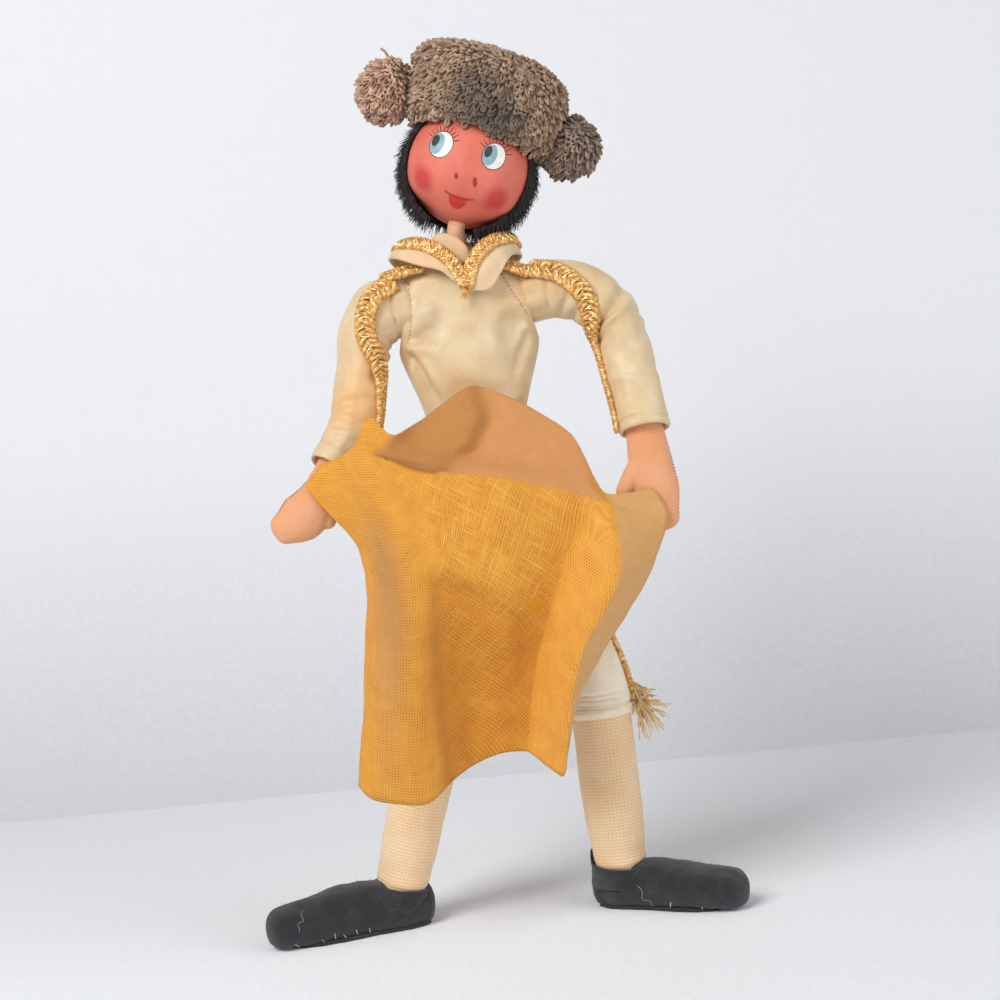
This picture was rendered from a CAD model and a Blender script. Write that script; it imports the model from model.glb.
# %% [markdown]
# # A stuffed cloth doll with a cape
# The real thing is a souvenir doll about 28 cm tall: soft wire inside stuffed cloth, a painted cloth head, a looped
# pile hat, a jacket and breeches edged with gold braid, and a coarse linen cape held between both hands.
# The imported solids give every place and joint. This lesson dresses them, piece by piece, in the same frame.

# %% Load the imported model
import math
import random
import bpy
import bmesh
from mathutils import Matrix, Vector, noise
from mathutils.bvhtree import BVHTree


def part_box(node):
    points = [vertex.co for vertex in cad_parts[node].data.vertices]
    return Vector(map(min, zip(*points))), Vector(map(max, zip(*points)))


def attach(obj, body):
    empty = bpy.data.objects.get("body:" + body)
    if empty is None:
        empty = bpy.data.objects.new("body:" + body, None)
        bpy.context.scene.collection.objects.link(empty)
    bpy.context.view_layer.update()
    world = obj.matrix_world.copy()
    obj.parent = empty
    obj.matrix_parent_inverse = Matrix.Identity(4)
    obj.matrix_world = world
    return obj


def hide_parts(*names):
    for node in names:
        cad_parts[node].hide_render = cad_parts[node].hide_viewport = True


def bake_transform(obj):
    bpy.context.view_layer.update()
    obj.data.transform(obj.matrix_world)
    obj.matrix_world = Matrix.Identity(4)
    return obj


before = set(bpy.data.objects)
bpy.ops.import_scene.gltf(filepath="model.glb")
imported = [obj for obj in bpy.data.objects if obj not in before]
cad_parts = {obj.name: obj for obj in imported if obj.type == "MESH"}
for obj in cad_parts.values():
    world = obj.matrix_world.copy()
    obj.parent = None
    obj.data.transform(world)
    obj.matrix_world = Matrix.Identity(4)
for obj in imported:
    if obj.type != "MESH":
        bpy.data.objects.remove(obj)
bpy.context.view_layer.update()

# %% [markdown]
# Everything below is written in millimetres from the middle of the doll's spine, with +Z up and the doll facing -Y.
# The spine wire is a solid that never shows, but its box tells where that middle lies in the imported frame, so one
# matrix takes each finished mesh there. Objects then stay at the origin and patterns on them never slide.

# %% From the doll's millimetres to the frame
spine_low, spine_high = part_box("spine_wire")
spine = (spine_low + spine_high) / 2
TO_FRAME = Matrix.Translation((spine.x, spine.y, 0)) @ Matrix.Scale(0.001, 4)
FRONT = Vector((0, -1, 0))
SIDES = (("right", -1), ("left", 1))
print("spine at", [round(c * 1000, 2) for c in spine])

# %% [markdown]
# The photograph looks almost straight at the doll's front, with the camera rolled by five degrees, so the doll seems to
# lean. The camera is built from where it stands, what it looks at and that roll.

# %% Camera
LOOK_AT = TO_FRAME @ Vector((5, -10, 135.3))
CAMERA_RISE = math.radians(2.5)
CAMERA_ROLL = math.radians(-5.47)
CAMERA_AWAY = 0.6166
back = Vector((0, -math.cos(CAMERA_RISE), math.sin(CAMERA_RISE)))
camera = bpy.data.objects.new("camera", bpy.data.cameras.new("camera"))
camera.data.lens = 70
turned = (-back).to_track_quat("-Z", "Y").to_matrix().to_4x4() @ Matrix.Rotation(CAMERA_ROLL, 4, "Z")
camera.matrix_world = Matrix.Translation(LOOK_AT + back * CAMERA_AWAY) @ turned
bpy.context.scene.collection.objects.link(camera)
bpy.context.scene.camera = camera
print("camera", [round(c, 3) for c in camera.location])

# %% [markdown]
# Colours are picked as sRGB hex values, the way a paint chart gives them, and one function turns them to the linear
# values that the renderer works in. One more function adds a shader node with its settings and links, so that each
# finish below reads as a short list of layers.

# %% Colours


def paint(code):
    """sRGB hex to linear RGBA."""
    parts = [int(code[k:k + 2], 16) / 255 for k in (1, 3, 5)]
    return [c / 12.92 if c <= 0.04045 else ((c + 0.055) / 1.055) ** 2.4 for c in parts] + [1]


print("white is", paint("#FFFFFF")[:3])

# %% Nodes


def node(finish, kind, inputs=(), stops=(), **settings):
    """One shader node: its settings, its colour stops (share, hex), then its sockets, linked or set."""
    made = finish.node_tree.nodes.new("ShaderNode" + kind)
    for key, value in settings.items():
        setattr(made, key, value)
    for k, (share, code) in enumerate(stops):
        stop = made.color_ramp.elements[k] if k < 2 else made.color_ramp.elements.new(share)
        stop.position, stop.color = share, paint(code)
    for socket, value in dict(inputs).items():
        if isinstance(value, bpy.types.NodeSocket):
            finish.node_tree.links.new(value, made.inputs[socket])
        else:
            made.inputs[socket].default_value = value
    return made


def new_finish(name, **sockets):
    """A material with a Principled shader, whose plain sockets are set by name."""
    finish = bpy.data.materials.new(name)
    finish.use_nodes = True
    for key, value in sockets.items():
        finish.node_tree.nodes["Principled BSDF"].inputs[key.replace("_", " ")].default_value = value
    return finish


def wire_up(finish, **links):
    """Links made layers to the shader's own sockets."""
    shader = finish.node_tree.nodes["Principled BSDF"]
    for key, value in links.items():
        finish.node_tree.links.new(value, shader.inputs[key.replace("_", " ")])


print("node helpers ready")

# %% [markdown]
# Old cloth and yarn are never quite one colour. The layer that most finishes here share is a tone that wanders over the
# piece, and the next is a soft round stain. Both sit on Object coordinates, which are the doll's own metres.

# %% Layers that finishes share


def per_metre(millimetres):
    """Texture scale for a pattern whose features are this far apart."""
    return 1000 / millimetres


def mottled(finish, grain, stops, **looks):
    """A tone that wanders over the piece: patches of so many millimetres, and the colours they run through."""
    spot = node(finish, "TexCoord").outputs["Object"]
    patch = node(finish, "TexNoise", {"Vector": spot, "Scale": per_metre(grain), **looks}).outputs["Fac"]
    return node(finish, "ValToRGB", {"Fac": patch}, stops).outputs["Color"]


def mottled_finish(name, grain, stops, detail=2.0, **sockets):
    """A finish that has such a tone and no other layer."""
    finish = new_finish(name, **sockets)
    wire_up(finish, Base_Color=mottled(finish, grain, stops, Detail=detail))
    return finish


def smudge(finish, tone, middle, reach, code, most):
    """Lays a soft round stain over a tone: its middle and reach in millimetres, its colour, how much of it."""
    spot = node(finish, "TexCoord").outputs["Object"]
    off = node(finish, "VectorMath", {0: spot, 1: TO_FRAME @ Vector(middle)}, operation="SUBTRACT").outputs[0]
    near = node(finish, "Mapping", {"Vector": off, "Scale": [per_metre(reach)] * 3}).outputs[0]
    glow = node(finish, "TexGradient", {"Vector": near}, gradient_type="SPHERICAL").outputs["Fac"]
    soft = node(finish, "MapRange", {"Value": glow, "From Max": 0.6, "To Max": most}).outputs[0]
    return node(finish, "Mix", {"Factor": soft, "A": tone, "B": paint(code)}, data_type="RGBA").outputs["Result"]


print("a thread each half millimetre is", per_metre(0.5), "in a metre")

# %% [markdown]
# ## Stuffed limbs
# Every stuffed limb is the same idea: round or oval sections that swell and taper along a bent line. A limb is kept
# as its line and sizes, so that the skin, the braid on it and the stitches on it all ask it for points.
# The line is a centripetal spline, which passes through each point without loops between close ones.

# %% Smooth lines


def spline(points, t):
    """A point on the smooth line through all points; t runs from 0 to 1."""
    last = len(points) - 1
    k = min(int(t * last), last - 1)
    s = t * last - k
    b, c = points[k], points[k + 1]
    a = points[k - 1] if k else b * 2 - c
    d = points[k + 2] if k + 2 <= last else c * 2 - b
    ab, bc, cd = [max((q - p).length, 1e-6) ** 0.5 for p, q in ((a, b), (b, c), (c, d))]
    leave = ((b - a) / ab - (c - a) / (ab + bc) + (c - b) / bc) * bc
    reach = ((c - b) / bc - (d - b) / (bc + cd) + (d - c) / cd) * bc
    return b + leave * s + (c * 3 - b * 3 - leave * 2 - reach) * s * s + (b * 2 - c * 2 + leave + reach) * s ** 3


print("half way along a bent line", spline([Vector((0, 0, 0)), Vector((1, 0, 2)), Vector((4, 0, 0))], 0.5)[:])

# %% Limbs


class Limb:
    """Stations are (x, y, z, half width[, half depth]). Angle 0 is the front and 90 the outer side."""

    def __init__(self, stations, outward=1):
        self.path = [Vector(s[:3]) for s in stations]
        self.size = [Vector((s[3], s[-1], 0)) for s in stations]
        self.outward = outward

    def frame(self, t):
        """The middle of the limb at t, and its directions along, to the front and to the outer side."""
        along = (spline(self.path, min(1, t + 0.01)) - spline(self.path, max(0, t - 0.01))).normalized()
        front = (FRONT - along * FRONT.dot(along)).normalized()
        return spline(self.path, t), along, front, along.cross(front) * self.outward

    def at(self, t, angle, lift=0.0):
        """A point on the limb's skin, or a lift above it."""
        centre, along, front, side = self.frame(t)
        size = spline(self.size, t)
        bend = math.radians(angle)
        return centre + front * ((size.y + lift) * math.cos(bend)) + side * ((size.x + lift) * math.sin(bend))

    def share(self, height):
        """Where along a rising or falling limb its line reaches a height."""
        rises = self.path[-1].z > self.path[0].z
        near, far = 0.0, 1.0
        for _ in range(30):
            half = (near + far) / 2
            near, far = (half, far) if (spline(self.path, half).z < height) == rises else (near, half)
        return near


print("skin half way up a test limb", Limb([(0, 0, 0, 2), (0, 0, 10, 2)]).at(0.5, 0)[:])

# %% [markdown]
# A skin is pulled over a limb as a sleeve is over an arm: one ring of edges is extruded from row to row, and each row
# is set on the limb, smaller where an end is domed or a hem is turned in. A loft between cut sections would do as well,
# but here each ring can be rucked on its way. The operators don't promise an order, so the mesh is put in order
# afterwards.

# %% Rings and their order


def hoops(rings, start_dome=0.0, end_dome=0.0, first=0.0, last=1.0):
    """Rows of (place along, shrink, shift) for a limb's rings, with a dome on the ends that have one."""
    turns = [math.radians(15 * k) for k in range(1, 7)]
    rows = [(first, math.cos(a), -start_dome * math.sin(a)) for a in reversed(turns)] if start_dome else []
    rows += [(first + (last - first) * k / rings, 1, 0) for k in range(rings + 1)]
    return rows + ([(last, math.cos(a), end_dome * math.sin(a)) for a in turns] if end_dome else [])


def in_order(bm, verts=()):
    """Numbers vertices as given or by place, then edges and faces by them, so that each run makes the same mesh."""
    for k, v in enumerate(list(verts) or sorted(bm.verts, key=lambda v: [round(c, 3) for c in v.co])):
        v.index = k
    bm.verts.sort()
    count = len(bm.verts)

    def rank(part):
        low = sorted(v.index for v in part.verts)
        return (low[0] * count + low[1]) * count + low[-1]

    for parts in (bm.edges, bm.faces):
        parts.sort(key=rank)
        parts.index_update()


print("rows of a limb with two domes", len(hoops(10, 1, 1)))

# %% Skins


def skin(limb, rows, sides, ruck=lambda t, angle: 0.0):
    """Pulls a ring of edges along the limb, row after row, and closes both ends. UVs are in millimetres."""
    bm = bmesh.new()
    uv = bm.loops.layers.uv.new("UVMap")
    ring = bmesh.ops.create_circle(bm, segments=sides, radius=1)["verts"]
    girth = 2 * math.pi * sum(s.x + s.y for s in limb.size) / (2 * len(limb.size))
    where = {}
    run, last_centre = 0.0, None
    for number, (t, shrink, shift) in enumerate(rows):
        if number:
            edges = [bm.edges.get((ring[i - 1], ring[i])) for i in range(sides)]
            made = set(bmesh.ops.extrude_edge_only(bm, edges=edges)["geom"])
            ring = [next(e.other_vert(v) for e in v.link_edges if e.other_vert(v) in made) for v in ring]
        centre, along = limb.frame(t)[:2]
        middle = centre + along * shift
        run += (middle - last_centre).length if last_centre else 0.0
        last_centre = middle
        for i, v in enumerate(ring):
            angle = 180 + 360 * i / sides
            v.co = centre.lerp(limb.at(t, angle, ruck(t, angle)), shrink) + along * shift
            where[v] = (i, run)
    in_order(bm, where)
    for face in bm.faces:
        wraps = {where[v][0] for v in face.verts} == {0, sides - 1}
        for loop in face.loops:
            i, run = where[loop.vert]
            loop[uv].uv = ((sides if wraps and i == 0 else i) / sides * girth, run)
    bmesh.ops.holes_fill(bm, edges=[e for e in bm.edges if e.is_boundary], sides=0)
    bmesh.ops.remove_doubles(bm, verts=bm.verts, dist=1e-4)
    bmesh.ops.recalc_face_normals(bm, faces=bm.faces)
    in_order(bm, bm.verts)
    return bm


print("skin helper ready")

# %% [markdown]
# A finished mesh becomes one object at the origin. It is told there which body it rides on, which material slot of the
# part it belongs to and which solids it stands for, so that it moves with them and they are not drawn twice.

# %% Placing pieces


def place_piece(name, bm, finish, body=None, stands_for=()):
    """Takes a bmesh in the doll's millimetres into the frame as one smooth object."""
    bmesh.ops.transform(bm, matrix=TO_FRAME, verts=bm.verts)
    mesh = bpy.data.meshes.new(name)
    bm.to_mesh(mesh)
    bm.free()
    return place_mesh(name, mesh, finish, body, stands_for)


def place_mesh(name, mesh, finish, body=None, stands_for=()):
    """Makes a mesh that is already in the frame one smooth object, and says what it rides on and stands for."""
    mesh.materials.clear()
    mesh.materials.append(finish)
    mesh.shade_smooth()
    piece = bpy.data.objects.new(name, mesh)
    bpy.context.scene.collection.objects.link(piece)
    if body:
        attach(piece, body)
    if stands_for:
        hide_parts(*stands_for)
    return piece


print("placing helpers ready")

# %% [markdown]
# Threads are the doll's smallest parts: pile loops, fur, lashes, stitches, braid strands and the tassels. A curve with
# a round bevel is the quickest way to give hundreds of them thickness; it is made a mesh at once, so that each piece
# can ride on a body like any other.

# %% Threads


def settled(holder):
    """The mesh of an object with its bevel or modifiers applied. The object itself goes."""
    bpy.context.scene.collection.objects.link(holder)
    mesh = bpy.data.meshes.new_from_object(holder.evaluated_get(bpy.context.evaluated_depsgraph_get()))
    bpy.data.objects.remove(holder)
    return mesh


def threads(name, strands, radius, finish, body=None, stands_for=(), taper=1.0, detail=0):
    """Strands are lists of points in millimetres; each one is a tube, thinner at its end by the taper."""
    curve = bpy.data.curves.new(name + "_line", "CURVE")
    curve.dimensions = "3D"
    curve.bevel_depth = radius / 1000
    curve.bevel_resolution = detail
    curve.use_fill_caps = True
    for strand in strands:
        line = curve.splines.new("POLY")
        line.points.add(len(strand) - 1)
        for k, point in enumerate(strand):
            line.points[k].co = (*(TO_FRAME @ point), 1)
            line.points[k].radius = 1 + (taper - 1) * k / (len(strand) - 1)
    mesh = settled(bpy.data.objects.new(name + "_line", curve))
    bpy.data.curves.remove(curve)
    mesh.name = name
    return place_mesh(name, mesh, finish, body, stands_for)


print("thread helper ready")

# %% [markdown]
# ## Ivory satin
# The jacket is cotton satin gone yellow with age. Satin is woven so that long threads float on top, which gives it a
# soft broad shine. Real threads are 0.15 mm apart, too fine to show, so the weave is drawn at 0.5 mm.

# %% Woven cotton


def woven_cotton(name, light, main, stain, thread, gloss, smudges=()):
    """A fine plain cloth: even weave in the bump, age stains in the colour."""
    finish = new_finish(name, Roughness=gloss, Sheen_Weight=0.25, Sheen_Roughness=0.4)
    tone = mottled(finish, 16, [(0.28, light), (0.5, main), (0.74, stain)], Detail=4.0, Roughness=0.6)
    spot = node(finish, "TexCoord").outputs["Object"]
    speck = node(finish, "TexNoise", {"Vector": spot, "Scale": per_metre(1.6), "Detail": 2.0}).outputs["Fac"]
    share = node(finish, "MapRange", {"Value": speck, "From Min": 0.7, "From Max": 0.8, "To Max": 0.5}).outputs[0]
    tone = node(finish, "Mix", {
        "Factor": share, "A": tone, "B": paint("#A88658")}, data_type="RGBA").outputs["Result"]
    for stain_place in smudges:
        tone = smudge(finish, tone, *stain_place)
    stripes = {"Vector": spot, "Scale": per_metre(thread) * 0.05, "Distortion": 1.5}
    warp, weft = [node(finish, "TexWave", stripes, bands_direction=way).outputs["Fac"] for way in "XZ"]
    height = node(finish, "Math", {0: warp, 1: weft}, operation="ADD")
    bump = node(finish, "Bump", {"Height": height.outputs[0], "Strength": 0.18, "Distance": 0.0001})
    wire_up(finish, Base_Color=tone, Normal=bump.outputs[0])
    return finish


print("cotton helper ready")

# %% Satin, and the plainer cotton of the breeches
# middle in millimetres, reach, colour and strength of each age stain on the jacket, collar and sleeves
STAINS = [((-10.5, -12, 196.5), 5, "#B08E64", 0.5), ((-12.5, -12, 193), 5.5, "#A98860", 0.6),
          ((-14.5, -11, 188.5), 6, "#B8905E", 0.5), ((14, -11, 192.5), 5, "#B0946A", 0.55),
          ((12, -12, 188), 5.5, "#AC9068", 0.6), ((13, -12, 181), 7, "#BCA27A", 0.5),
          ((-3, -12, 172), 9, "#D9AC72", 0.5), ((44, -10, 190), 11, "#CFAE7E", 0.5),
          ((-31, -9, 180), 12, "#DDAA70", 0.75), ((-36, -14, 168), 13, "#E2A968", 0.7),
          ((-13, -12, 212), 9, "#E0A878", 0.55), ((0, -11, 216), 7, "#E6B48A", 0.45),
          ((8, -14, 206), 8, "#E6B98C", 0.4)]
satin = woven_cotton("ivory_cotton_satin", "#E6D1AE", "#DDC49A", "#D3AA76", 0.5, 0.5, STAINS)
cotton = woven_cotton("cream_breeches_cotton", "#FAF0DC", "#F4E7CE", "#E0CCA8", 0.6, 0.75)
print("cottons", satin.name, cotton.name)

# %% [markdown]
# ## Jacket and seat
# The trunk is one stuffed bag in two cloths that meet at the waist. A ring of edges is pulled up along it; soft dents
# and pulled folds are added to each ring, as stuffing and a tight armhole make them. Code displacement was chosen over
# a cloth simulation because each fold sits where the photograph shows it.

# %% Folds


def ease(value, start, end):
    """Zero up to the start, one from the end on, and a smooth step between."""
    s = max(0.0, min(1.0, (value - start) / (end - start)))
    return s * s * (3 - 2 * s)


def gauss(distance, width):
    """One in the middle, falling off to nothing at about twice the width."""
    return math.exp(-(distance / width) ** 2)


def folds(seed, grain, *creases, pleats=0.0):
    """Ruck function: soft lumps, gathers at the start, and creases (along, width, angle, spread, height, slant)."""
    def ruck(t, angle):
        bend = math.radians(angle)
        lump = noise.noise(Vector((1.6 * math.cos(bend), 1.6 * math.sin(bend), 6 * t + 7.3 * seed)))
        fine = noise.noise(Vector((4 * math.cos(bend), 4 * math.sin(bend), 15 * t + 3.1 * seed)))
        total = grain * (lump + 0.4 * fine) + pleats * math.cos(9 * bend + seed) * gauss(t, 0.1)
        for along, width, middle, spread, height, slant in creases:
            off = (angle - middle + 180) % 360 - 180
            total += height * gauss(t - along - slant * off / 90, width) * gauss(off, spread)
        return total
    return ruck


print("fold at its crest", round(folds(0, 0, (0.5, 0.1, 0, 60, 1, 0))(0.5, 0), 3))

# %% Trunk
WAIST = 158
ARMHOLE = 20.5
trunk = Limb([(0, 0, 120, 20.5, 12), (0, 0, 137, 20.5, 12), (0, 0, WAIST, 15.5, 10.5), (0, 0, 186, 22.6, 12),
              (0, 0, 197, 22.5, 11.5), (0, 0, 206.8, 20.8, 10.2), (0, 0, 211, 15, 8.4), (0, 0, 212.6, 6.5, 6.5)])
waist = trunk.share(WAIST)
# on the front: from (x, z), to (x, z), half width and height of each pulled fold, dent and seam
PULLED = [
    ((-18.5, 186), (-8, 168), 1.5, 1.6), ((-19, 183.5), (-10, 164.5), 1.4, -2.0),
    ((-18.5, 180), (-14, 162.5), 1.3, 1.4), ((-18.5, 188), (-12, 191), 1.6, -1.3),
    ((-18.5, 186), (-11, 183.5), 1.3, 1.0), ((-13, 198), (-10, 191), 4, -0.9), ((12, 191), (13.5, 178), 3, -1.3),
    ((18.5, 189), (14, 183), 1.3, 1.1), ((18.5, 187), (13.5, 174), 1.5, -1.2), ((15, 168), (5, 162), 1.4, 1.0),
    ((-4, 172), (8, 170), 2.5, -0.8), ((2, 203), (3, 194), 4, 0.5)]
SEAMS = [[(-17.6, 207), (-17.2, 201), (-17.6, 195), (-18.6, 190), (-20.3, 186.5)],
         [(12, 207), (15, 201), (18, 195.6), (20.3, 191)]]
PULLED += [(p, q, 0.8, -0.6) for seam in SEAMS for p, q in zip(seam, seam[1:])]


def beside_line(spot, start, end):
    """How far a spot is from a line between two others, and how far along it the nearest place is."""
    run = end - start
    s = max(0.0, min(1.0, (spot - start).dot(run) / run.length_squared))
    return (spot - start - run * s).length, s


print("waist at", round(waist, 3), "of the trunk, pulled folds", len(PULLED))

# %% [markdown]
# The jacket is the trunk above the waist and the seat the trunk below it. The jacket is cut off flat at the armholes,
# where the sleeves sit, and each pulled fold moves its points along their normals. The seam stitches are found by a ray
# from the front, so they lie on the finished folds.

# %% Jacket and seat
bm = skin(trunk, hoops(96, first=waist + 0.002, last=0.985), 144, folds(1, 0.5))
for v in bm.verts:
    half = ARMHOLE + 2.2 * ease(195 - v.co.z, 0, 12)
    v.co.x = max(-half, min(half, v.co.x))
    at_armhole = gauss(v.co.z - 199.5, 8)
    v.co.y *= 1 + 0.85 * at_armhole * (abs(v.co.x) / ARMHOLE) ** 6
bm.normal_update()
for v in bm.verts:
    if v.co.y < 0:
        for start, end, width, height in PULLED:
            off, s = beside_line(Vector((v.co.x, v.co.z)), Vector(start), Vector(end))
            v.co += v.normal * (height * gauss(off, width) * (1 - 0.5 * s))
front_of = BVHTree.FromBMesh(bm)
SEAM_STITCHES = 13
stitches = []
for seam in SEAMS:
    line = [Vector((x, 0, z)) for x, z in seam]
    for k in range(SEAM_STITCHES):
        ends = [spline(line, (k + 0.5 + s) / (SEAM_STITCHES + 1)) for s in (-0.22, 0.22)]
        stitches.append([front_of.ray_cast(Vector((p.x, -60, p.z)), -FRONT)[0] + FRONT * 0.08 for p in ends])
jacket = place_piece("satin_jacket", bm, satin, "torso", ["jacket"])
seam_thread = mottled_finish("aged_seam_thread", 1, [(0.4, "#8F6F45"), (0.6, "#B8976A")], Roughness=0.8)
threads("armhole_stitches", stitches, 0.14, seam_thread, "torso")
bm = skin(trunk, hoops(30, first=trunk.share(132.5), last=waist - 0.002), 80, folds(2, 0.5))
seat = place_piece("cotton_seat", bm, cotton, "torso", ["breeches_seat"])
print("jacket", len(jacket.data.vertices), "seat", len(seat.data.vertices))

# %% [markdown]
# ## Sleeves
# Each sleeve is one tube of satin from the armhole to the cuff, stuffed and bent at the elbow, where the cloth rucks up
# on the inside of the bend. It is one mesh over two bodies, so a blend round the elbow lets it bend with the arm. Its
# hem is turned in and stitched, which leaves a fine groove a few millimetres above the edge.

# %% Sleeve lines and folds
SHOULDER = 198.5
ELBOW = 183
ARMS = {
    "right": Limb([(-20.85, 0, SHOULDER + 1.2, 9.8), (-27, -1, 198.6, 9.8), (-32.3, -3, 191.2, 9.3),
                   (-34, -5, ELBOW, 8.5), (-36.5, -8, 172.1, 8.1), (-40, -12, 160, 7.8), (-47, -17, 151, 6.9)], 1),
    "left": Limb([(20.85, 0, SHOULDER + 1.6, 9.6), (30, 0, SHOULDER + 2.2, 9.5), (39.4, -1.5, 197, 9.4),
                  (46, -3.5, 189.4, 9.2), (48.5, -5, ELBOW, 8.5), (50.5, -7, 170.9, 8.2), (52, -10.5, 160.1, 8.1),
                  (52.5, -12.5, 153.6, 8.1)], -1),
}
SLEEVE_FOLDS = {
    "right": folds(3, 0.6, (0.34, 0.03, -90, 50, -1.4, 0), (0.42, 0.03, -80, 50, -1.5, 0.02),
                   (0.50, 0.03, -90, 50, -1.3, 0), (0.58, 0.03, -60, 60, -1.0, 0.05), (0.72, 0.02, 20, 60, -0.9, 0.04),
                   (0.80, 0.02, -20, 70, -1.1, -0.03), (0.87, 0.02, 10, 70, 0.9, 0.03), (0.1, 0.02, 10, 60, -0.8, 0),
                   (0.25, 0.02, 40, 40, -0.8, 0.05), (0.94, 0.006, 0, 400, -0.5, 0), pleats=0.25),
    "left": folds(4, 0.6, (0.28, 0.03, -60, 45, -1.2, 0.05), (0.40, 0.035, -80, 45, -1.5, 0.05),
                  (0.48, 0.03, -85, 45, -1.5, 0), (0.56, 0.03, -80, 50, -1.3, -0.03), (0.47, 0.02, 50, 45, -1.0, 0.05),
                  (0.41, 0.018, 15, 55, -2.0, -0.065), (0.455, 0.022, 20, 55, 1.2, -0.065),
                  (0.365, 0.02, 10, 50, 0.9, -0.06), (0.60, 0.02, 40, 50, -1.0, -0.05),
                  (0.68, 0.025, 30, 60, -1.0, 0.06), (0.76, 0.02, 0, 60, 0.8, 0.05),
                  (0.08, 0.015, 0, 60, -0.8, 0.02), (0.2, 0.02, -30, 40, -0.9, 0.06), (0.95, 0.006, 0, 400, -0.5, 0),
                  pleats=0.25),
}
print("stations of the sleeves", [len(arm.path) for arm in ARMS.values()])

# %% Sleeves
TURNED_HEM = [(1, 0.95, 0.7), (1, 0.88, 0.6), (1, 0.84, -0.4), (1, 0.82, -3)]
elbow_blend, knee_blend = {}, {}
for side, sign in SIDES:
    arm = ARMS[side]
    bm = skin(arm, hoops(84, start_dome=6) + TURNED_HEM, 56, SLEEVE_FOLDS[side])
    sleeve = place_piece("satin_sleeve_" + side, bm, satin, None,
                         ["sleeve_upper_" + side, "sleeve_lower_" + side])
    bend = Vector((sign * (34 if side == "right" else 48.5), -5, ELBOW))
    elbow_blend[side] = ("upper_arm_" + side, "forearm_" + side,
                         TO_FRAME @ (bend + Vector((0, 0, 8))), TO_FRAME @ (bend - Vector((0, 0, 8))))
    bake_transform(sleeve)
    print(sleeve.name, len(sleeve.data.vertices), "vertices")

# %% [markdown]
# ## Stockinet
# The stockings and the hands are knitted cloth. Knitting shows as columns of small V stitches with a pinhole between
# them. UVs run round and along each limb in millimetres, so the stitches follow the leg. The stocking's stitches are
# 1.2 mm wide; the hands' jersey is finer.

# %% Knits


def knitted(name, yarn, shade, gap, stitch, depth):
    """Columns of V stitches along V, with small holes where four stitches meet."""
    finish = new_finish(name, Roughness=0.85, Sheen_Weight=0.3, Sheen_Roughness=0.5)
    along = node(finish, "SeparateXYZ", {0: node(finish, "UVMap", uv_map="UVMap").outputs[0]})
    column = node(finish, "Math", {0: along.outputs["X"], 1: 1 / stitch}, operation="MULTIPLY").outputs[0]
    saw = node(finish, "Math", {0: column}, operation="FRACT").outputs[0]
    centred = node(finish, "Math", {0: saw, 1: 0.5}, operation="SUBTRACT").outputs[0]
    lean = node(finish, "Math", {0: centred}, operation="ABSOLUTE").outputs[0]
    row = node(finish, "Math", {0: along.outputs["Y"], 1: 1 / (0.9 * stitch), 2: lean},
               operation="MULTIPLY_ADD").outputs[0]
    turn = node(finish, "Math", {0: row, 1: 2 * math.pi}, operation="MULTIPLY").outputs[0]
    wave = node(finish, "Math", {0: turn}, operation="SINE").outputs[0]
    rib = node(finish, "MapRange", {"Value": wave, "From Min": -1.0, "From Max": 1.0}).outputs[0]
    seam = node(finish, "MapRange", {"Value": lean, "From Min": 0.3, "From Max": 0.5, "To Min": 1.0, "To Max": 0.0})
    height = node(finish, "Math", {0: rib, 1: seam.outputs[0]}, operation="MULTIPLY").outputs[0]
    tone = mottled(finish, 14, [(0.3, yarn), (0.7, shade)], Detail=3.0)
    dark = node(finish, "MapRange", {"Value": height, "From Min": 0.02, "From Max": 0.3, "To Min": 0.55, "To Max": 0.0})
    mixed = node(finish, "Mix", {"Factor": dark.outputs[0], "A": tone, "B": paint(gap)}, data_type="RGBA")
    bump = node(finish, "Bump", {"Height": height, "Strength": depth, "Distance": 0.0002})
    wire_up(finish, Base_Color=mixed.outputs["Result"], Normal=bump.outputs[0])
    return finish


stockinet = knitted("peach_knit_stockinet", "#FFE2B8", "#FAD09E", "#C8A274", 1.2, 0.7)
jersey = knitted("flesh_jersey", "#F1B286", "#E99F6E", "#CD8558", 0.75, 0.35)
neck_jersey = knitted("pale_neck_jersey", "#FFCAA4", "#F9B48A", "#D88C60", 0.75, 0.35)
print("knits", stockinet.name, jersey.name)

# %% [markdown]
# ## Hands
# A hand is a mitten with a thumb, cut from two pieces of jersey and overcast round its edge, so a row of slanting
# stitches runs round it. Palm and thumb are two stuffed tubes. Joining them by a fine voxel remesh gives the soft web
# between them that a plain overlap lacks.

# %% Hand lines, thread and joining
HANDS = {
    "right": Limb([(-44.3, -15.8, 153.7, 5.5, 4.3), (-50.1, -19.8, 142.5, 6.6, 4.5), (-56.7, -22.6, 136.2, 7.5, 4.5),
                   (-63, -25, 133, 4.8, 3.2)], 1),
    "left": Limb([(52, -12.2, 157.6, 5.5, 4.3), (53, -13.5, 146.5, 6.6, 4.5), (53.9, -14.5, 135.5, 7.5, 4.5),
                  (56, -15, 124, 4.8, 3.2)], -1),
}
HAND_STITCHES = 22
# twisted cotton, a shade deeper than the jersey, so that each stitch shows
thread = mottled_finish("sewing_thread", 2, [(0.3, "#D98F63"), (0.7, "#C07A50")], Roughness=0.7)


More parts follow.
